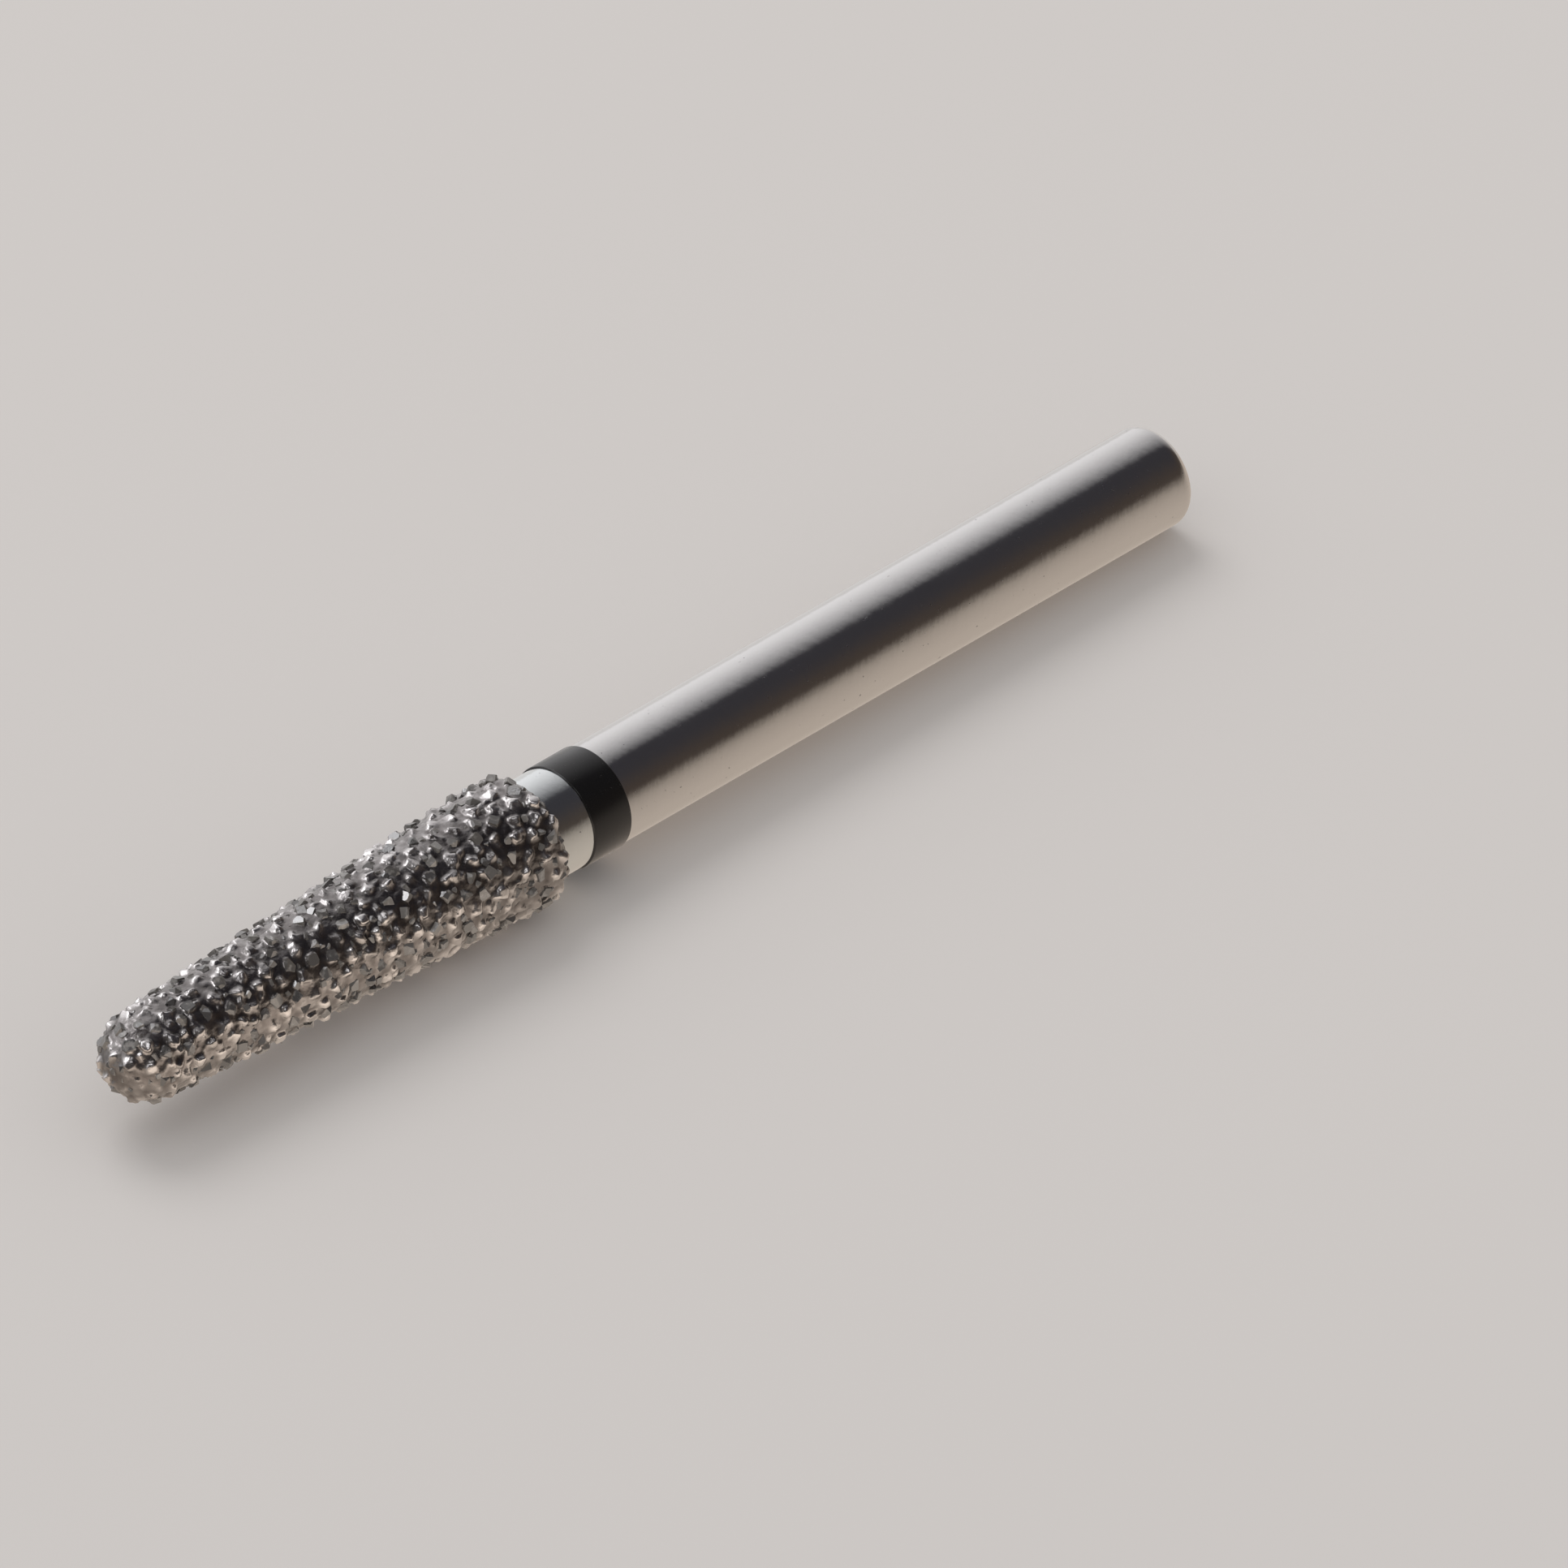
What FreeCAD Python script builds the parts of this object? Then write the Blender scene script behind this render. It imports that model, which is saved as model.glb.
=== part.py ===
import FreeCAD, Part
import math
import os
import random
from FreeCAD import Placement, Rotation, Vector

# A tapered, round-ended dental bur with a single layer of coarse diamond grit.
# It lies along +X with the centre of its shank's end face at the origin. All lengths are in millimetres.

# Lengths along the axis, from the shank's end to the tip
overall_length = 21.5
head_length = 8.4
shoulder_length = 0.2
neck_length = 0.6
band_width = 0.75

# Diameters: the two of the head are measured over the grit
shank_diameter = 1.6
head_diameter = 2.18
tip_diameter = 1.5

# Small forms of the turned blank and of the lacquer band: the band's seat is dished and its top is crowned,
# each with a slanted edge and the last bit of its height as a low ridge in the middle
end_rounding = 0.25
seat_depth = 0.06
band_crown = 0.025
slant_width = 0.07
ridge_height = 0.008

# The plated layer: nickel up to the middle of the grains, and how far the tallest grains stand out of it
bond_thickness = 0.15
edge_thickness = 0.04
grain_stand = 0.09
stand_spread = 0.03

# The grains: the distance between a crystal's opposite corners, the pitch, and the scatter of the pattern
grain_width = 0.27
width_spread = 0.035
grain_pitch = 0.31
grain_scatter = 0.03
grain_seed = 7

# The whole coat is turned about the axis by this many degrees, until the bur lies on the grains that it rolls to
coat_turn = 353

# The bond is built in flats, so that its skin stays light between the grains
bond_flats = 22
ball_steps = 4

# Places that follow from the sizes above
head_start = overall_length - head_length
band_end = head_start - neck_length
band_start = band_end - band_width
shank_radius = shank_diameter / 2
full_start = head_start + shoulder_length
ball_centre = overall_length - tip_diameter / 2
golden_angle = math.pi * (3 - math.sqrt(5))


# A point of a turned profile: its place on the axis and its radius
def at(station, radius):
    return Vector(station, radius, 0)


# A flat profile turned about the axis
def turned(edges):
    return Part.Face(Part.Wire(edges)).revolve(Vector(0, 0, 0), Vector(1, 0, 0), 360)


# Straight edges from point to point
def straights(points):
    return [Part.LineSegment(start, end).toShape() for start, end in zip(points, points[1:])]


# The head's taper at a depth under the tips of the grit: where it leaves the shoulder, where it meets the
# round tip, the tip's radius, and the slope of the radius down which the two run into each other
def taper(depth):
    back_radius = head_diameter / 2 - depth
    ball_radius = tip_diameter / 2 - depth
    reach = math.hypot(ball_centre - full_start, back_radius)
    slope = math.atan2(back_radius, ball_centre - full_start) - math.asin(ball_radius / reach)
    back = at(full_start, back_radius)
    join = at(ball_centre + ball_radius * math.sin(slope), ball_radius * math.cos(slope))
    return back, join, ball_radius, slope


# A point of the round tip, at a turn from the axis
def on_ball(radius, turn):
    return at(ball_centre + radius * math.cos(turn), radius * math.sin(turn))


# The line across the band's width whose middle stands off the shank's surface by a height, or lies under it
def across_band(height):
    step = math.copysign(abs(height) - ridge_height, height)
    return [
        at(band_start, shank_radius),
        at(band_start + slant_width, shank_radius + step),
        at((band_start + band_end) / 2, shank_radius + height),
        at(band_end - slant_width, shank_radius + step),
        at(band_end, shank_radius),
    ]


# The turned blank: rounded end, shank, seat of the band, neck, shoulder and the core under the grit
def steel_blank():
    core_back, core_join, core_ball, slope = taper(bond_thickness + grain_stand)
    corner = end_rounding * (1 - math.sqrt(0.5))
    rounding = Part.Arc(
        at(0, shank_radius - end_rounding),
        at(corner, shank_radius - corner),
        at(end_rounding, shank_radius),
    ).toShape()
    shank = [at(end_rounding, shank_radius)]
    head = [at(head_start, shank_radius), core_back, core_join]
    body = straights(shank + across_band(-seat_depth) + head)
    turn = (math.pi / 2 - slope) / 2
    tip = Part.Arc(core_join, on_ball(core_ball, turn), on_ball(core_ball, 0)).toShape()
    axis = straights([on_ball(core_ball, 0), at(0, 0), at(0, shank_radius - end_rounding)])
    return turned([rounding] + body + [tip] + axis)


# The lacquer ring: it fills its seat and stands a little proud
def grade_band():
    seat = across_band(-seat_depth)
    crown = across_band(band_crown)
    return turned(straights(seat + crown[-2::-1]))


# The outline of the bond, as the points where its rings of flats meet, from the neck to the tip
def bond_outline():
    back, join, ball_radius, slope = taper(grain_stand)
    full_turn = math.pi / 2 - slope
    ball = [on_ball(ball_radius, full_turn * (1 - step / ball_steps)) for step in range(1, ball_steps + 1)]
    return [at(head_start, shank_radius + edge_thickness), back, join] + ball


# A flat face through corners
def flat(corners):
    return Part.Face(Part.makePolygon(corners + corners[:1]))


# A closed solid from its flat faces
def closed(faces):
    solid = Part.Solid(Part.Shell(faces))
    if solid.Volume < 0:
        solid.reverse()
    return solid


# The nickel bond, solid down to the axis: rings of flats and a pointed cap at the tip
def bond_body():
    outline = bond_outline()
    steps = [2 * math.pi * k / bond_flats for k in range(bond_flats)]
    rings = []
    for point in outline[:-1]:
        rings.append([Vector(point.x, point.y * math.cos(turn), point.y * math.sin(turn)) for turn in steps])
    faces = [flat(rings[0])]
    for near, far in zip(rings, rings[1:]):
        for k in range(bond_flats):
            beside = (k + 1) % bond_flats
            faces.append(flat([near[k], near[beside], far[beside], far[k]]))
    for k in range(bond_flats):
        faces.append(flat([rings[-1][k], rings[-1][(k + 1) % bond_flats], outline[-1]]))
    return closed(faces)


# An eight-sided crystal, with its corners on the axes
def octahedron(width):
    reach = width / 2
    along, across, up = Vector(reach, 0, 0), Vector(0, reach, 0), Vector(0, 0, reach)
    faces = []
    for a in (1, -1):
        for b in (1, -1):
            for c in (1, -1):
                faces.append(flat([along * a, across * b, up * c]))
    return closed(faces)


# A cubic crystal of the same width from corner to corner
def cube(width):
    side = width / math.sqrt(3)
    return Part.makeBox(side, side, side, Vector(-side / 2, -side / 2, -side / 2))


# The place on the outline, and the outward direction there, where a wanted area of skin lies behind
def seat_after(outline, wanted):
    for start, end in zip(outline, outline[1:]):
        run = end - start
        area = math.pi * (start.y + end.y) * run.Length
        if wanted < area:
            break
        wanted -= area
    share = wanted / (2 * math.pi * run.Length)
    root = math.sqrt(max(start.y ** 2 + 2 * run.y * share, 0))
    place = start + run * (2 * share / (start.y + root))
    outward = Vector(-run.y, run.x, 0).normalize()
    return place, outward


# The skin between the first and the last point of an outline, turned about the axis
def skin_area(outline):
    return sum(math.pi * (start.y + end.y) * (end - start).Length for start, end in zip(outline, outline[1:]))


# The grains: cubes and octahedra on a golden-angle spiral, one to each cell of skin, turned at random
# and sunk in the bond until only their tops stand out
def grains():
    outline = bond_outline()
    step_in = outline[1] - outline[0]
    outline[0] = outline[0] + step_in * (grain_width / 2 / step_in.Length)
    cell = grain_pitch ** 2 * math.sqrt(3) / 2
    chance = random.Random(grain_seed)
    solids = []
    for k in range(int(skin_area(outline) / cell)):
        place, outward = seat_after(outline, (k + 0.5) * cell)
        width = grain_width + chance.uniform(-width_spread, width_spread)
        habit = chance.choice([cube, octahedron])
        crystal = habit(width)
        tumble = Vector(chance.gauss(0, 1), chance.gauss(0, 1), chance.gauss(0, 1))
        crystal.Placement = Placement(Vector(0, 0, 0), Rotation(tumble, chance.uniform(0, 360)))
        top = max(corner.Point.dot(outward) for corner in crystal.Vertexes)
        stand = grain_stand - chance.uniform(0, stand_spread)
        shift = Vector(chance.uniform(-grain_scatter, grain_scatter), 0, 0)
        crystal.translate(place + shift + outward * (stand - top))
        around = k * golden_angle + chance.uniform(-grain_scatter, grain_scatter) / place.y
        crystal.rotate(Vector(0, 0, 0), Vector(1, 0, 0), math.degrees(around))
        solids.append(crystal)
    return solids


# The plated layer: bond and grains are one mass, hollow where the blank's core fills it
def diamond_coat(blank):
    layer = bond_body().multiFuse(grains())
    layer.rotate(Vector(0, 0, 0), Vector(1, 0, 0), coat_turn)
    return layer.cut(blank).Solids[0]


def main():
    os.makedirs("parts", exist_ok=True)
    blank = steel_blank()
    blank.exportStep("parts/steel_blank.step")
    grade_band().exportStep("parts/grade_band.step")
    diamond_coat(blank).exportStep("parts/diamond_coat.step")


main()
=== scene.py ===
import math
import random

import bpy
from mathutils import Matrix, Vector, noise
from mathutils.kdtree import KDTree


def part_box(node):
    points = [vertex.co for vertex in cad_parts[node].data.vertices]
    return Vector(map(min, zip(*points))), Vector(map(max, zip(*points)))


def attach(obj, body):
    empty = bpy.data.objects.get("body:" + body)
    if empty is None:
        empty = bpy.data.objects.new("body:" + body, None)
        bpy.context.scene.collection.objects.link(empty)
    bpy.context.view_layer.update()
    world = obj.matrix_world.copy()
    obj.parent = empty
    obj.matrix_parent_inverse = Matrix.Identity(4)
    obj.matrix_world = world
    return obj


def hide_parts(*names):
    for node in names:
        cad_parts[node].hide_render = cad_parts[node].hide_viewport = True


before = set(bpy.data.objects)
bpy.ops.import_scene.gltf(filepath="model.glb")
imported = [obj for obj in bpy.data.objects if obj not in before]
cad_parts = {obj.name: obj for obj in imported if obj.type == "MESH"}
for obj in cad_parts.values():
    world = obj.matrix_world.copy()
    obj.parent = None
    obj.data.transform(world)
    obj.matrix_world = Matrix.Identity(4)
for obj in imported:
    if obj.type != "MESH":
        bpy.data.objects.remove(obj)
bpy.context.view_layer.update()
print("frame loaded")

# Everything is modelled in millimetres and brought to metres when a piece is finished.
# Stations are measured along X, from the shank's end face to the tip.
bur = {
    "length": 21.5,
    "headStart": 13.1,
    "fullStart": 13.3,  # where the shoulder has reached the head's full width
    "bandStart": 11.75,
    "bandEnd": 12.5,
    "shankRadius": 0.8,
    "headRadius": 1.09,  # over the grit
    "tipRadius": 0.75,  # over the grit
    "endRounding": 0.25,
    "seatDepth": 0.06,
    "slant": 0.07,
    "ridge": 0.008,
    "coatDepth": 0.24,  # from the tips of the grit down to the core
    "coreSteps": 8,  # rings of the core's round tip
}


# Helpers for modelling


def deselectAll():
    if bpy.context.mode != "OBJECT":
        bpy.ops.object.mode_set(mode="OBJECT")
    bpy.ops.object.select_all(action="DESELECT")


def pick(piece):
    deselectAll()
    piece.select_set(True)
    bpy.context.view_layer.objects.active = piece


def joined(pieces):
    deselectAll()
    for piece in pieces:
        piece.select_set(True)
    bpy.context.view_layer.objects.active = pieces[0]
    bpy.ops.object.join()
    return bpy.context.object


def extrudeAlongX(distance, filled):
    move = {"value": (distance, 0, 0)}
    if filled:
        bpy.ops.mesh.extrude_region_move(TRANSFORM_OT_translate=move)
    else:
        bpy.ops.mesh.extrude_edges_move(TRANSFORM_OT_translate=move)


# The selected ring is drawn on along X through (station, radius) pairs, of which the first is its own
def drawOn(profile, filled):
    station, radius = profile[0]
    for nextStation, nextRadius in profile[1:]:
        extrudeAlongX(nextStation - station, filled)
        grow = nextRadius / radius
        bpy.ops.transform.resize(value=(1, grow, grow), center_override=(nextStation, 0, 0))
        station, radius = nextStation, nextRadius


# A new ring drawn out along a profile; a filled one keeps its face at both ends, so the result is closed
def drawnAlongX(sides, profile, filled=True):
    deselectAll()
    station, radius = profile[0]
    bpy.ops.mesh.primitive_circle_add(
        vertices=sides,
        radius=radius,
        fill_type="NGON" if filled else "NOTHING",
        location=(station, 0, 0),
        rotation=(0, math.pi / 2, 0),
        enter_editmode=True,
    )
    drawOn(profile, filled)
    return bpy.context.object


def closeAndTurnOut():
    bpy.ops.mesh.select_all(action="SELECT")
    bpy.ops.mesh.remove_doubles(threshold=1e-5)
    bpy.ops.mesh.normals_make_consistent(inside=False)
    bpy.ops.object.mode_set(mode="OBJECT")


def applyPlace(piece):
    pick(piece)
    bpy.ops.object.transform_apply(location=True, rotation=True, scale=True)


# The last step of each piece: metres, smooth shading, its body, its CAD node, its slot and its material
def finishPiece(piece, name, node, material, smoothAngle):
    piece.name = name
    piece.data.name = name
    piece.scale = (0.001, 0.001, 0.001)
    applyPlace(piece)
    bpy.ops.object.shade_smooth_by_angle(angle=math.radians(smoothAngle))
    piece.data.materials.clear()
    piece.data.materials.append(material)
    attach(piece, "root")
    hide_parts(node)
    print(name, "finished with", len(piece.data.polygons), "faces")


# Helpers for materials


class Wire:  # a socket that can be used in sums
    def __init__(self, sheet, socket):
        self.sheet = sheet
        self.socket = socket

    def __add__(self, other):
        return self.sheet.maths("ADD", self, other)

    def __rsub__(self, other):
        return self.sheet.maths("SUBTRACT", other, self)

    def __mul__(self, other):
        return self.sheet.maths("MULTIPLY", self, other)

    def __rtruediv__(self, other):
        return self.sheet.maths("DIVIDE", other, self)

    __radd__ = __add__
    __rmul__ = __mul__


class NodeSheet:
    def __init__(self, tree):
        self.tree = tree
        tree.nodes.clear()

    # Any node: its type, its settings, which are set first, and the values or links of its sockets
    def node(self, kind, settings=None, sockets=None, out=0):
        made = self.tree.nodes.new(kind)
        for setting, value in (settings or {}).items():
            setattr(made, setting, value)
        for socketName, value in (sockets or {}).items():
            if isinstance(value, Wire):
                self.tree.links.new(value.socket, made.inputs[socketName])
            else:
                made.inputs[socketName].default_value = value
        return Wire(self, made.outputs[out]) if made.outputs else made

    def maths(self, operation, first, second):
        return self.node("ShaderNodeMath", {"operation": operation}, {0: first, 1: second})

    def scaled(self, vector, factors):
        return self.node("ShaderNodeVectorMath", {"operation": "MULTIPLY"}, {0: vector, 1: factors})

    # A value that runs from start to end while another goes from low to high
    def step(self, value, low, high, start=0.0, end=1.0, curve="SMOOTHSTEP"):
        return self.node(
            "ShaderNodeMapRange",
            {"interpolation_type": curve},
            {"Value": value, "From Min": low, "From Max": high, "To Min": start, "To Max": end},
        )

    def blend(self, factor, first, second):
        return self.node("ShaderNodeMix", {"data_type": "RGBA"}, {0: factor, 6: first, 7: second}, out=2)

    def noise(self, vector, scale, detail=2.0):
        return self.node("ShaderNodeTexNoise", {}, {"Vector": vector, "Scale": scale, "Detail": detail})

    def attribute(self, name):
        return self.node("ShaderNodeAttribute", {"attribute_name": name}, out="Fac")

    def millimetres(self):
        return self.scaled(self.node("ShaderNodeTexCoord", out="Object"), (1000, 1000, 1000))

    def along(self, vector, axis):
        return self.node("ShaderNodeSeparateXYZ", {}, {"Vector": vector}, out=axis)

    def bump(self, height, metres):
        return self.node("ShaderNodeBump", {}, {"Strength": 1, "Distance": metres, "Height": height})


def rgb(red, green, blue):
    return (red, green, blue, 1)


def newMaterial(name):
    material = bpy.data.materials.new(name)
    material.use_nodes = True
    return material, NodeSheet(material.node_tree)


def surfaceOf(sheet, sockets):
    shader = sheet.node("ShaderNodeBsdfPrincipled", {}, sockets)
    sheet.node("ShaderNodeOutputMaterial", {}, {"Surface": shader})


# The camera: the photo's angle, through a long lens

cameraSet = {
    "azimuth": 135,
    "elevation": 35.3,
    "distance": 0.4,
    "lens": 633.6,
    "station": 0.01175,  # the band's edge, from which the aim is measured
    "aimRight": 0.00278,
    "aimUp": 0.000194,
}


def addCamera():
    turn = math.radians(cameraSet["azimuth"])
    lift = math.radians(cameraSet["elevation"])
    angles = (math.pi / 2 - lift, 0, turn)
    deselectAll()
    bpy.ops.object.camera_add(rotation=angles)
    camera = bpy.context.object
    camera.name = "photoCamera"
    rightward = Vector((math.cos(turn), math.sin(turn), 0))
    upward = Vector((-math.sin(turn) * math.sin(lift), math.cos(turn) * math.sin(lift), math.cos(lift)))
    aim = rightward * cameraSet["aimRight"] + upward * cameraSet["aimUp"]
    aim += Vector((cameraSet["station"], 0, 0))
    camera.location = aim + rightward.cross(upward) * cameraSet["distance"]
    camera.data.lens = cameraSet["lens"]
    camera.data.sensor_width = 36
    camera.data.clip_start = 0.01
    camera.data.clip_end = 2
    bpy.context.scene.camera = camera


addCamera()
print("camera placed")


# The head's taper at a depth under the tips of the grit: the shoulder's end, the join with the round tip,
# the tip's radius and centre, and the slope
def taperAt(depth):
    backRadius = bur["headRadius"] - depth
    ballRadius = bur["tipRadius"] - depth
    ballCentre = bur["length"] - bur["tipRadius"]
    run = ballCentre - bur["fullStart"]
    slope = math.atan2(backRadius, run) - math.asin(ballRadius / math.hypot(run, backRadius))
    join = (ballCentre + ballRadius * math.sin(slope), ballRadius * math.cos(slope))
    return (bur["fullStart"], backRadius), join, ballRadius, ballCentre, slope


# The round tip as points from the join to the pole
def ballPoints(depth, steps):
    ballRadius, ballCentre, slope = taperAt(depth)[2:]
    points = []
    for step in range(1, steps + 1):
        turn = (math.pi / 2 - slope) * (1 - step / steps)
        points.append((ballCentre + ballRadius * math.cos(turn), ballRadius * math.sin(turn)))
    return points


# The core under the coat, from the shoulder to the pole
def corePoints():
    back, join = taperAt(bur["coatDepth"])[:2]
    return [back, join] + ballPoints(bur["coatDepth"], bur["coreSteps"])


# The last ring is drawn on to the pole and closed there
def closeAtPole(station, pole, filled):
    extrudeAlongX(pole - station, filled)
    bpy.ops.mesh.merge(type="CENTER")


# The dished seat of the band, as points from its shank side to its neck side
def seatPoints():
    deep = bur["shankRadius"] - bur["seatDepth"]
    return [
        (bur["bandStart"], bur["shankRadius"]),
        (bur["bandStart"] + bur["slant"], deep + bur["ridge"]),
        ((bur["bandStart"] + bur["bandEnd"]) / 2, deep),
        (bur["bandEnd"] - bur["slant"], deep + bur["ridge"]),
        (bur["bandEnd"], bur["shankRadius"]),
    ]


# The turned blank of ground steel

blankSet = {
    "sides": 144,
    "roundingSteps": 10,
    "support": 0.012,  # rings beside an edge keep the shading of the long faces straight
    "color": rgb(0.66, 0.65, 0.64),
    # painted light: a lighter, cooler copy of the same steel on the neck, where it looks brighter
    "neckPaintedLight": rgb(0.71, 0.735, 0.735),
    "neckChange": (12, 12.3),  # where along X the color changes, hidden under the band
    "speckColor": rgb(0.3, 0.3, 0.31),
    "roughness": 0.07,
    "speckRoughness": 0.25,
    "bump": 5e-6,  # in metres, as all bumps
}


def blankSteel():
    material, sheet = newMaterial("groundSteel")
    place = sheet.millimetres()
    rings = sheet.noise(sheet.scaled(place, (60, 1.5, 1.5)), 1, 3)
    mottle = sheet.noise(sheet.scaled(place, (7, 3.5, 3.5)), 1, 4)
    smudges = sheet.noise(sheet.scaled(place, (1.1, 1.7, 1.7)), 1, 3)
    specks = sheet.step(sheet.noise(place, 13, 3), 0.7, 0.75)
    # painted light: past the band the steel turns to its lighter copy on the neck
    pastBand = sheet.step(sheet.along(place, "X"), *blankSet["neckChange"])
    steel = sheet.blend(pastBand, blankSet["color"], blankSet["neckPaintedLight"])
    color = sheet.blend(specks, steel, blankSet["speckColor"])
    roughness = blankSet["roughness"] + smudges * 0.1 + rings * 0.06
    roughness = roughness + specks * blankSet["speckRoughness"]
    bump = sheet.bump(mottle + rings * 0.05 + specks * 0.15, blankSet["bump"])
    surfaceOf(sheet, {"Base Color": color, "Metallic": 1, "Roughness": roughness, "Normal": bump})
    return material


def makeBlank():
    radius = bur["shankRadius"]
    rounding = bur["endRounding"]
    support = blankSet["support"]
    profile = []
    for step in range(blankSet["roundingSteps"] + 1):
        turn = math.pi / 2 * step / blankSet["roundingSteps"]
        profile.append((rounding * (1 - math.cos(turn)), radius - rounding * (1 - math.sin(turn))))
    profile += [(rounding + support, radius), (bur["bandStart"] - support, radius)]
    profile += seatPoints()
    profile += [(bur["bandEnd"] + support, radius), (bur["headStart"] - support, radius)]
    profile += [(bur["headStart"], radius)] + corePoints()
    piece = drawnAlongX(blankSet["sides"], profile[:-1])
    closeAtPole(profile[-2][0], profile[-1][0], filled=True)
    closeAndTurnOut()
    applyPlace(piece)
    finishPiece(piece, "turned_blank", "steel_blank", blankSteel(), smoothAngle=30)


makeBlank()


# The grade band of black lacquer

bandSet = {
    "sides": 144,
    "proud": 0.025,
    "edgeRadius": 0.022,
    "edgeSteps": 5,
    "color": rgb(0.0065, 0.006, 0.006),
    "dustColor": rgb(0.045, 0.04, 0.036),
    "roughness": 0.18,
    "dustRoughness": 0.2,
    "bump": 3e-6,
}


def bandLacquer():
    material, sheet = newMaterial("blackLacquer")
    place = sheet.millimetres()
    flow = sheet.noise(sheet.scaled(place, (3, 1.5, 1.5)), 1, 2)
    dust = sheet.step(sheet.noise(place, 16, 4), 0.66, 0.75)
    color = sheet.blend(dust * 0.6, bandSet["color"], bandSet["dustColor"])
    roughness = bandSet["roughness"] + flow * 0.1 + dust * bandSet["dustRoughness"]
    bump = sheet.bump(flow + dust * 0.2, bandSet["bump"])
    surfaceOf(sheet, {"Base Color": color, "Roughness": roughness, "IOR": 1.55, "Normal": bump})
    return material


def makeBand():
    seat = seatPoints()
    top = bur["shankRadius"] + bandSet["proud"]
    edge = bandSet["edgeRadius"]
    crown = []
    for step in range(bandSet["edgeSteps"] + 1):  # the edge on the neck side, from the shank to the top
        turn = math.pi / 2 * step / bandSet["edgeSteps"]
        crown.append((bur["bandEnd"] - edge * (1 - math.cos(turn)), top - edge * (1 - math.sin(turn))))
    twiceMiddle = bur["bandStart"] + bur["bandEnd"]
    mirrored = [(twiceMiddle - station, radius) for station, radius in reversed(crown)]
    crown = crown + [(twiceMiddle / 2, top)] + mirrored
    piece = drawnAlongX(bandSet["sides"], seat + crown + seat[:1], filled=False)
    closeAndTurnOut()
    applyPlace(piece)
    finishPiece(piece, "lacquer_band", "grade_band", bandLacquer(), smoothAngle=40)


makeBand()


# The diamond coat: broken crystals held in plated nickel

gritSet = {
    "depth": 0.09,  # the nickel's level under the highest tips
    "edge": 0.04,  # the nickel's thickness where it ends at the neck
    "width": 0.27,
    "widthSpread": 0.035,
    "pitch": 0.31,
    "scatter": 0.03,
    "standSpread": 0.03,
    "seed": 7,
    "coatTurn": 353,
    "seatSteps": 4,  # rings of the round tip on which the grains are placed, as in the solid
    "kinds": 6,  # broken crystals of each habit
    # How far from its middle a crystal is cut, in its own widths, and how much the corner cuts lean
    "cubeCut": (0.4, 0.485),
    "pyramidCut": (0.36, 0.48),
    "sideCut": (0.27, 0.33),
    "sideCuts": 2,
    "cutLean": 0.12,
    "fillers": 720,
    "fillerTries": 6,
    "fillerFrom": 0.3,  # square millimetres of skin left free at the neck
    "fillerWidth": (0.12, 0.2),
    "fillerStand": (0.01, 0.06),
    "plated": 0.5,  # the share of the grains that the nickel covers
    "cover": 1.04,  # a covered grain's size in the nickel
    "collar": 0.93,  # a bare grain's size in the nickel, which climbs its sides
    "collarSink": 0.014,
    "boreDepth": 0.03,  # the faces cut away at the neck end lie within this depth
    "boreMargin": 0.004,  # and at least this far inside the blank's skin
    "bodySides": 72,
    "bodySteps": 12,
    "voxel": 0.028,
    "smoothing": 2,
    "nodules": ((7, 0.016), (15, 0.006)),  # the nickel's own lumps: how many to a millimetre, how high
    "diamondDark": rgb(0.05, 0.046, 0.045),
    "diamondLight": rgb(0.17, 0.155, 0.14),
    "diamondCloud": rgb(0.27, 0.25, 0.23),
    "diamondRoughness": 0.1,
    "diamondBump": 2e-6,
    "nickelColor": rgb(0.72, 0.695, 0.685),
    # painted shade for the low spots of the nickel between the grains
    "nickelPaintedShade": rgb(0.17, 0.155, 0.15),
    "nickelDull": rgb(0.2, 0.185, 0.18),
    "nickelRoughness": 0.17,
    "nickelBump": 8e-6,
}


def anyDirection(chance):
    return Vector((chance.gauss(0, 1), chance.gauss(0, 1), chance.gauss(0, 1)))


def cutOff(direction, reach):
    bpy.ops.mesh.select_all(action="SELECT")
    bpy.ops.mesh.bisect(plane_co=direction * reach, plane_no=direction, use_fill=True, clear_outer=True)


# A broken crystal, a millimetre from corner to corner: a cube or a double pyramid whose corners and sides
# are cut off by planes
def brokenCrystal(index, cubic, chance):
    deselectAll()
    if cubic:
        bpy.ops.mesh.primitive_cube_add(size=1 / math.sqrt(3), enter_editmode=True)
        corners = [Vector((a, b, c)).normalized() for a in (-1, 1) for b in (-1, 1) for c in (-1, 1)]
        reach = gritSet["cubeCut"]
    else:
        bpy.ops.mesh.primitive_uv_sphere_add(segments=4, ring_count=2, radius=0.5, enter_editmode=True)
        corners = [Vector(axis) * sign for axis in ((1, 0, 0), (0, 1, 0), (0, 0, 1)) for sign in (-1, 1)]
        reach = gritSet["pyramidCut"]
    for corner in chance.sample(corners, len(corners) - 1):
        cut = (corner + anyDirection(chance) * gritSet["cutLean"]).normalized()
        cutOff(cut, chance.uniform(*reach))
    for side in range(gritSet["sideCuts"]):
        cut = anyDirection(chance).normalized()
        cutOff(cut, chance.uniform(*gritSet["sideCut"]))
    closeAndTurnOut()
    crystal = bpy.context.object
    crystal.name = "crystalKind" + str(index)
    return crystal


# The place on an outline, and the outward direction there, where a wanted area of skin lies behind
def seatAfter(outline, wanted):
    for start, end in zip(outline, outline[1:]):
        run = end - start
        area = math.pi * (start.y + end.y) * run.length
        if wanted < area:
            break
        wanted -= area
    share = wanted / (2 * math.pi * run.length)
    root = math.sqrt(max(start.y ** 2 + 2 * run.y * share, 0))
    return start + run * (2 * share / (start.y + root)), Vector((-run.y, run.x, 0)).normalized()


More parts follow.
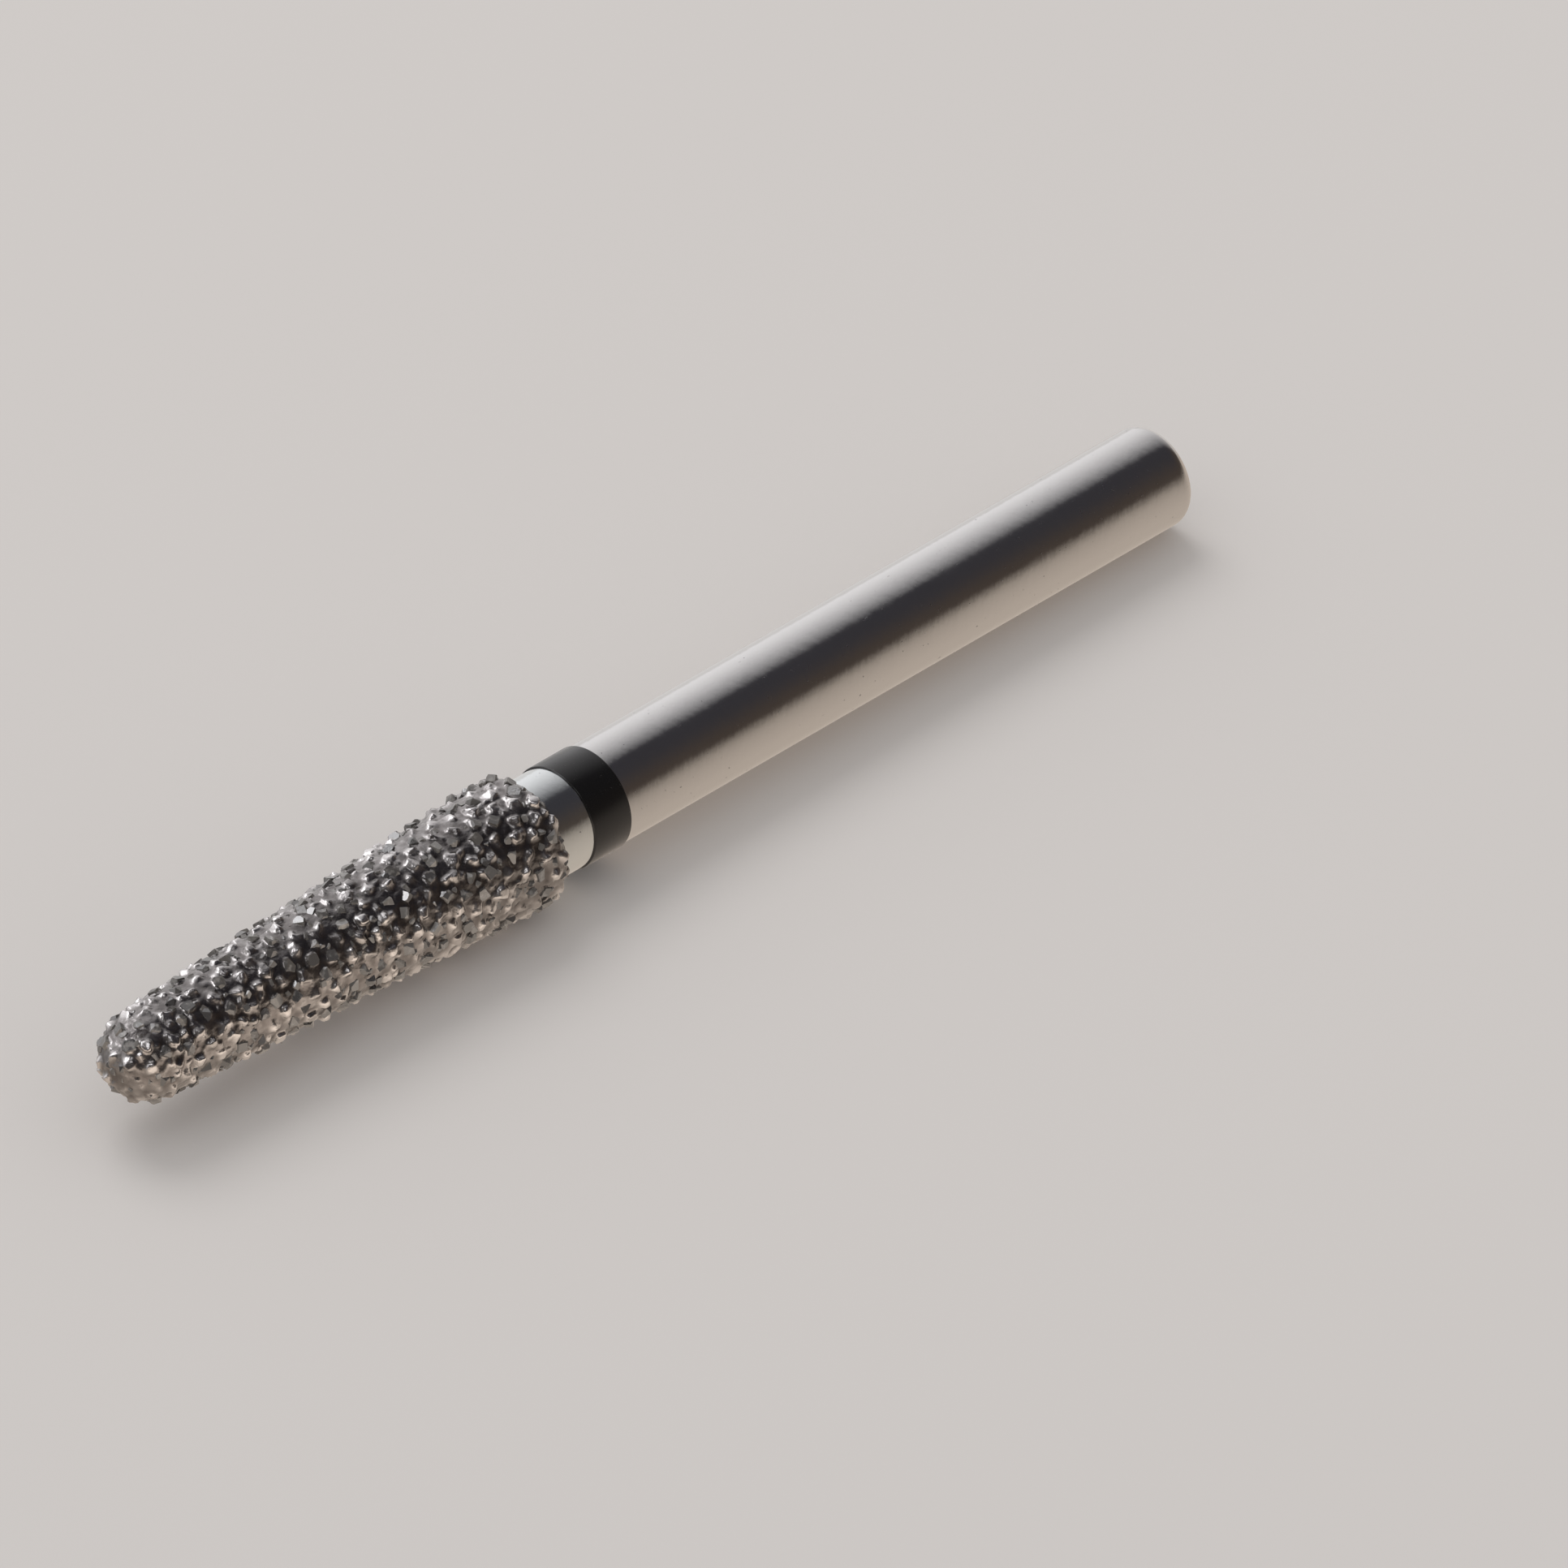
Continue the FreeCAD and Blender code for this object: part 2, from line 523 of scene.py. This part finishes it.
def skinArea(outline):
    pairs = zip(outline, outline[1:])
    return sum(math.pi * (start.y + end.y) * (end - start).length for start, end in pairs)


# The nickel's level, from the neck to the tip
def coatOutline(steps):
    edge = (bur["headStart"], bur["shankRadius"] + gritSet["edge"])
    back, join = taperAt(gritSet["depth"])[:2]
    return [edge, back, join] + ballPoints(gritSet["depth"], steps)


def coatLine(steps):
    return [Vector((station, radius, 0)) for station, radius in coatOutline(steps)]


# Where a grain sits on the outline, how far it stands out, its width and habit, and its turns
def newSeat(place, outward, stand, width, cubic, tumbled, around):
    return {
        "place": place,
        "outward": outward,
        "stand": stand,
        "width": width,
        "cubic": cubic,
        "tumbled": tumbled,
        "turned": Matrix.Rotation(around, 4, "X"),
    }


# Where the large grains sit, drawn in the same order as the solid's own
def grainSeats():
    outline = coatLine(gritSet["seatSteps"])
    stepIn = outline[1] - outline[0]
    outline[0] = outline[0] + stepIn * (gritSet["width"] / 2 / stepIn.length)
    cell = gritSet["pitch"] ** 2 * math.sqrt(3) / 2
    golden = math.pi * (3 - math.sqrt(5))
    chance = random.Random(gritSet["seed"])
    seats = []
    for k in range(int(skinArea(outline) / cell)):
        place, outward = seatAfter(outline, (k + 0.5) * cell)
        width = gritSet["width"] + chance.uniform(-gritSet["widthSpread"], gritSet["widthSpread"])
        cubic = chance.choice([True, False])
        tumble = anyDirection(chance)
        tumbled = Matrix.Rotation(math.radians(chance.uniform(0, 360)), 4, tumble)
        stand = gritSet["depth"] - chance.uniform(0, gritSet["standSpread"])
        shift = Vector((chance.uniform(-gritSet["scatter"], gritSet["scatter"]), 0, 0))
        around = k * golden + chance.uniform(-gritSet["scatter"], gritSet["scatter"]) / place.y
        around += math.radians(gritSet["coatTurn"])
        seats.append(newSeat(place + shift, outward, stand, width, cubic, tumbled, around))
    return seats


# A tree that finds the nearest of some points
def treeOf(points):
    tree = KDTree(len(points))
    for index, point in enumerate(points):
        tree.insert(point, index)
    tree.balance()
    return tree


# Small crystals that fill the gaps between the grains, each at the freest place of a few tries
def fillerSeats(seats):
    outline = coatLine(gritSet["seatSteps"])
    whole = skinArea(outline)
    chance = random.Random(gritSet["seed"] + 1)
    centres = [seat["turned"] @ seat["place"] for seat in seats]
    small = []
    for k in range(gritSet["fillers"]):
        tree = treeOf(centres)
        best = None
        for attempt in range(gritSet["fillerTries"]):
            place, outward = seatAfter(outline, chance.uniform(gritSet["fillerFrom"], whole))
            around = chance.uniform(0, 2 * math.pi)
            centre = Matrix.Rotation(around, 4, "X") @ place
            room = tree.find(centre)[2]
            if best is None or room > best[0]:
                best = (room, place, outward, around, centre)
        room, place, outward, around, centre = best
        centres.append(centre)
        width = chance.uniform(*gritSet["fillerWidth"])
        stand = chance.uniform(*gritSet["fillerStand"])
        tumble = anyDirection(chance)
        tumbled = Matrix.Rotation(chance.uniform(0, 2 * math.pi), 4, tumble)
        cubic = chance.choice([True, False])
        small.append(newSeat(place, outward, stand, width, cubic, tumbled, around))
    return small


# Copies of the crystals on their seats, joined; each carries its own tone
def placedCrystals(name, seats, grow, sink):
    copies = []
    for seat in seats:
        data = seat["kind"].data.copy()
        sized = seat["tumbled"] @ Matrix.Scale(seat["width"], 4)
        top = max((sized @ vertex.co).dot(seat["outward"]) for vertex in data.vertices)
        centre = Matrix.Translation(seat["place"] + seat["outward"] * (seat["stand"] - top - sink))
        data.transform(seat["turned"] @ centre @ sized @ Matrix.Scale(grow, 4))
        tone = data.attributes.new("tone", "FLOAT", "POINT")
        tone.data.foreach_set("value", [seat["tone"]] * len(data.vertices))
        copy = bpy.data.objects.new(name, data)
        bpy.context.collection.objects.link(copy)
        copies.append(copy)
    return joined(copies)


def keepInBox(piece, node):
    low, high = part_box(node)
    low, high = low * 1000, high * 1000
    for vertex in piece.data.vertices:
        sides = zip(low, vertex.co, high)
        vertex.co = Vector([max(least, min(most, value)) for least, value, most in sides])


def gritDiamond():
    material, sheet = newMaterial("diamondGrain")
    place = sheet.millimetres()
    tone = sheet.attribute("tone")
    cloud = sheet.noise(place, 9, 3)
    clear = sheet.blend(tone, gritSet["diamondDark"], gritSet["diamondLight"])
    color = sheet.blend(sheet.step(cloud, 0.5, 0.75), clear, gritSet["diamondCloud"])
    roughness = gritSet["diamondRoughness"] + cloud * 0.16
    bump = sheet.bump(sheet.noise(place, 30, 2), gritSet["diamondBump"])
    surfaceOf(sheet, {"Base Color": color, "Roughness": roughness, "IOR": 2.4, "Normal": bump})
    return material


def gritNickel():
    material, sheet = newMaterial("platedNickel")
    place = sheet.millimetres()
    height = sheet.attribute("height")
    tone = sheet.attribute("tone")
    grain = sheet.noise(place, 16, 4)
    # painted shade: the nickel darkens where it lies under its level, between the grains
    plate = sheet.blend(sheet.step(height, -0.02, 0.05), gritSet["nickelPaintedShade"], gritSet["nickelColor"])
    color = sheet.blend(sheet.step(tone, 0.45, 0.9, 0, 0.6), plate, gritSet["nickelDull"])
    roughness = gritSet["nickelRoughness"] + grain * 0.14
    bump = sheet.bump(grain, gritSet["nickelBump"])
    surfaceOf(sheet, {"Base Color": color, "Metallic": 1, "Roughness": roughness, "Normal": bump})
    return material


# The nickel: the bare body and the crystals run together on a fine grid, then softened, so that the metal
# covers some crystals and climbs round the others. The bore for the core is drawn in from the neck end.
def makeNickel(plated, bare):
    body = drawnAlongX(gritSet["bodySides"], coatOutline(gritSet["bodySteps"])[:-1])
    bpy.ops.mesh.merge(type="CENTER")
    closeAndTurnOut()
    applyPlace(body)
    covered = placedCrystals("covered", plated, gritSet["cover"], sink=0)
    collars = placedCrystals("collars", bare, gritSet["collar"], gritSet["collarSink"])
    body = joined([body, covered, collars])
    remesh = body.modifiers.new("grid", "REMESH")
    remesh.mode = "VOXEL"
    remesh.voxel_size = gritSet["voxel"]
    bpy.ops.object.modifier_apply(modifier=remesh.name)
    soften = body.modifiers.new("soften", "SMOOTH")
    soften.factor = 0.5
    soften.iterations = gritSet["smoothing"]
    bpy.ops.object.modifier_apply(modifier=soften.name)
    outward = [vertex.normal.copy() for vertex in body.data.vertices]
    for vertex, direction in zip(body.data.vertices, outward):
        lift = sum(high * noise.noise(vertex.co * often) for often, high in gritSet["nodules"])
        vertex.co += direction * lift
    print("nickel grid", len(body.data.polygons), "faces")
    openBore(body)
    return body


# The faces over the blank at the neck end go, their rim is drawn onto the blank, and the bore follows
def openBore(body):
    start = bur["headStart"]
    wall = bur["shankRadius"]
    pick(body)
    for polygon in body.data.polygons:
        centre = polygon.center
        nearEnd = centre.x < start + gritSet["boreDepth"] and polygon.normal.x < -0.5
        overBlank = math.hypot(centre.y, centre.z) < wall - gritSet["boreMargin"]
        polygon.select = nearEnd and overBlank
    bpy.ops.object.mode_set(mode="EDIT")
    bpy.ops.mesh.select_mode(type="FACE")
    bpy.ops.mesh.delete(type="FACE")
    bpy.ops.mesh.select_mode(type="EDGE")
    bpy.ops.mesh.select_all(action="DESELECT")
    bpy.ops.mesh.select_non_manifold(
        extend=False, use_multi_face=False, use_non_contiguous=False, use_verts=False
    )
    bpy.ops.object.mode_set(mode="OBJECT")
    for vertex in body.data.vertices:
        if vertex.select:
            shrink = wall / math.hypot(vertex.co.y, vertex.co.z)
            vertex.co = Vector((start, vertex.co.y * shrink, vertex.co.z * shrink))
    bpy.ops.object.mode_set(mode="EDIT")
    core = corePoints()
    drawOn([(start, wall)] + core[:-1], filled=False)
    closeAtPole(core[-2][0], core[-1][0], filled=False)
    closeAndTurnOut()


# For the material: how far each point of the nickel stands over its level, by which its low spots get
# painted shade, and the nearest grain's tone
def markNickel(body, seats):
    outline = coatLine(gritSet["bodySteps"])
    tree = treeOf([seat["turned"] @ seat["place"] for seat in seats])
    slack = 0.2  # a stretch of the outline counts this far past its ends, in its own lengths
    heights, nearTones = [], []
    for vertex in body.data.vertices:
        flat = Vector((vertex.co.x, math.hypot(vertex.co.y, vertex.co.z), 0))
        height = -1
        for start, end in zip(outline, outline[1:]):
            run = end - start
            along = (flat - start).dot(run) / run.length_squared
            if -slack <= along <= 1 + slack:
                height = max(height, (flat - start).dot(Vector((-run.y, run.x, 0)).normalized()))
        heights.append(height)
        nearTones.append(seats[tree.find(vertex.co)[1]]["tone"])
    for name, values in (("height", heights), ("tone", nearTones)):
        layer = body.data.attributes.get(name) or body.data.attributes.new(name, "FLOAT", "POINT")
        layer.data.foreach_set("value", values)


def makeGrit():
    chance = random.Random(gritSet["seed"] + 4)
    kinds = {}
    for cubic in (True, False):
        kinds[cubic] = [brokenCrystal(k, cubic, chance) for k in range(gritSet["kinds"])]
    grains = grainSeats()
    seats = grains + fillerSeats(grains)
    for seat in seats:
        seat["kind"] = chance.choice(kinds[seat["cubic"]])
        seat["tone"] = chance.random()
        seat["plated"] = chance.random() < gritSet["plated"]
    bare = [seat for seat in seats if not seat["plated"]]
    plated = [seat for seat in seats if seat["plated"]]
    print(len(grains), "grains and", gritSet["fillers"], "small ones,", len(plated), "of them covered")
    stones = placedCrystals("stones", bare, grow=1, sink=0)
    nickel = makeNickel(plated, bare)
    markNickel(nickel, seats)
    keepInBox(stones, "diamond_coat")
    keepInBox(nickel, "diamond_coat")
    finishPiece(nickel, "nickel_bond", "diamond_coat", gritNickel(), smoothAngle=60)
    finishPiece(stones, "diamond_grains", "diamond_coat", gritDiamond(), smoothAngle=12)
    for kind in kinds[True] + kinds[False]:
        bpy.data.objects.remove(kind)


makeGrit()


# The floor, the room and the lamp

stageSet = {
    "floorHalf": 0.3,
    "floorColor": rgb(0.77, 0.73, 0.705),
    # The floor's painted glow, seen only in the metal's reflections: its tint, its brightness far off, and
    # what is added near the bur
    "floorSeen": rgb(1, 0.86, 0.735),
    "floorFar": 0.29,
    "floorNear": 0.4,
    "floorFade": 4,  # in millimetres from the bur
    # painted contact shadow: the glow is dimmed right beside the bur
    "paintedContactShadow": 0.88,  # what is left of it right beside the bur
    "contactSpan": (0.3, 1.3),  # where along Y that ends
    "headSpan": (12, 17),  # where along X it changes toward the head
    # painted highlight: the glow is brighter beside the head, where only the grit mirrors it
    "floorAhead": 0.65,  # how much brighter it is beside the head
    "aheadSpan": (0.8, 3.2),  # where along Y that begins
    "floorBehind": rgb(0.78, 0.76, 0.75),
    "behindSpan": (-1, -4),  # where along Y the floor behind the bur begins
    "behindDim": 0.4,  # how much darker it is behind the head
    "skySeen": rgb(0.8, 0.79, 0.77),
    "ambient": rgb(0.62, 0.62, 0.62),
    # The room as the metal mirrors it: a wide window on one side, and dark above, below and past the head.
    # The spans are parts of a direction of length 1.
    "window": rgb(1, 0.985, 1),
    "windowSpan": (0.05, -0.8),  # along Y, from the dark into the window
    "darkHigh": rgb(0.045, 0.043, 0.05),
    "darkLow": rgb(0.072, 0.056, 0.047),
    "lowSpan": (0.8, 0.25),  # along Z, from high to low
    "darkAhead": rgb(0.1, 0.092, 0.09),
    "roomAheadSpan": (-0.4, 0.1),  # along X, toward the head's end of the room
    "horizonSpan": (0.24, -0.02),  # along Z, down to the far floor
    # Small lamps that only the grit mirrors: direction, half width in degrees and strength
    "glints": [
        ((0, -0.75, 0.62), 14, 2.6),
        ((0.45, -0.45, 0.77), 16, 4),
        ((0.25, 0.35, 0.9), 11, 2),
    ],
    "glintCore": 0.6,  # the share of their width that has the full strength
    "keyPlace": (-0.05, -0.22, 0.3),
    "keySize": 0.25,
    "keyPower": 0.35,
}


# A plain pale floor for the camera, which in the metal's reflections glows with a painted light of its
# own, with a painted contact shadow beside the bur
def paleFloor():
    material, sheet = newMaterial("paleFloor")
    glossy = sheet.node("ShaderNodeLightPath", out="Is Glossy Ray")
    plain = sheet.node("ShaderNodeBsdfDiffuse", {}, {"Color": stageSet["floorColor"]})
    place = sheet.millimetres()
    side = sheet.along(place, "Y")
    away = sheet.maths("ABSOLUTE", side, 0) * (1 / stageSet["floorFade"])
    ahead = sheet.step(sheet.along(place, "X"), *stageSet["headSpan"])
    # the painted glow: brighter near the bur and beside the head, dimmed right beside it by a painted
    # contact shadow
    bright = stageSet["floorFar"] + stageSet["floorNear"] / (away + 1)
    bright = bright + ahead * sheet.step(side, *stageSet["aheadSpan"]) * stageSet["floorAhead"]
    bright = bright * sheet.step(side, *stageSet["contactSpan"], stageSet["paintedContactShadow"], 1)
    front = sheet.node("ShaderNodeEmission", {}, {"Color": stageSet["floorSeen"], "Strength": bright})
    dimmed = 1 - ahead * stageSet["behindDim"]
    behind = sheet.node("ShaderNodeEmission", {}, {"Color": stageSet["floorBehind"], "Strength": dimmed})
    past = sheet.step(side, *stageSet["behindSpan"])
    seen = sheet.node("ShaderNodeMixShader", {}, {0: past, 1: front, 2: behind})
    mixed = sheet.node("ShaderNodeMixShader", {}, {0: glossy, 1: plain, 2: seen})
    sheet.node("ShaderNodeOutputMaterial", {}, {"Surface": mixed})
    material.cycles.emission_sampling = "NONE"
    return material


# The floor touches the shank's end edge and the lowest grain of the head, on which the bur comes to rest
def makeFloor():
    rounding = bur["endRounding"] / 1000
    foot = bur["shankRadius"] / 1000
    steepest = 0
    for name in ("nickel_bond", "diamond_grains"):
        for vertex in bpy.data.objects[name].data.vertices:
            steepest = max(steepest, (-foot - vertex.co.z) / (vertex.co.x - rounding))
    deselectAll()
    bpy.ops.mesh.primitive_plane_add(size=2 * stageSet["floorHalf"])
    floor = bpy.context.object
    floor.name = "floor"
    floor.rotation_euler = (0, math.atan(steepest), 0)
    floor.location = (rounding, 0, -foot)
    applyPlace(floor)
    floor.data.materials.append(paleFloor())


# An even light for every surface, a pale sky for the camera, and the room for what mirrors
def makeWorld():
    world = bpy.data.worlds.new("studio")
    bpy.context.scene.world = world
    world.use_nodes = True
    world.cycles.sampling_method = "NONE"
    sheet = NodeSheet(world.node_tree)
    toward = sheet.node("ShaderNodeTexCoord", out="Generated")
    ahead = sheet.along(toward, "X")
    across = sheet.along(toward, "Y")
    rise = sheet.along(toward, "Z")
    window = sheet.step(across, *stageSet["windowSpan"], curve="LINEAR")
    table = sheet.step(rise, *stageSet["horizonSpan"]) * (1 - window)
    far = [stageSet["floorFar"] * part for part in stageSet["floorSeen"][:3]]
    low = sheet.step(rise, *stageSet["lowSpan"])
    studio = sheet.blend(low, stageSet["darkHigh"], stageSet["darkLow"])
    studio = sheet.blend(sheet.step(ahead, *stageSet["roomAheadSpan"]), studio, stageSet["darkAhead"])
    studio = sheet.blend(window, studio, stageSet["window"])
    studio = sheet.blend(table, studio, rgb(*far))
    for direction, width, strength in stageSet["glints"]:
        lamp = Vector(direction).normalized()
        dot = {"operation": "DOT_PRODUCT"}
        hit = sheet.node("ShaderNodeVectorMath", dot, {0: toward, 1: lamp}, out="Value")
        core = width * stageSet["glintCore"]
        spot = sheet.step(hit, math.cos(math.radians(width)), math.cos(math.radians(core)))
        studio = sheet.blend(spot, studio, rgb(strength, strength, strength * 1.03))
    glossy = sheet.node("ShaderNodeLightPath", out="Is Glossy Ray")
    seen = sheet.node("ShaderNodeLightPath", out="Is Camera Ray")
    plain = sheet.blend(seen, stageSet["ambient"], stageSet["skySeen"])
    light = sheet.node("ShaderNodeBackground", {}, {"Color": sheet.blend(glossy, plain, studio)})
    sheet.node("ShaderNodeOutputWorld", {}, {"Surface": light})


# The lamp that gives the soft shadow
def makeKey():
    deselectAll()
    bpy.ops.object.light_add(type="AREA", location=stageSet["keyPlace"])
    key = bpy.context.object
    key.name = "key"
    key.data.shape = "DISK"
    key.data.size = stageSet["keySize"]
    key.data.energy = stageSet["keyPower"]
    key.rotation_euler = (-key.location).to_track_quat("-Z", "Y").to_euler()
    key.visible_glossy = False


makeFloor()
makeWorld()
makeKey()
bpy.context.scene.view_settings.view_transform = "Standard"
print("floor, world and lamp set")
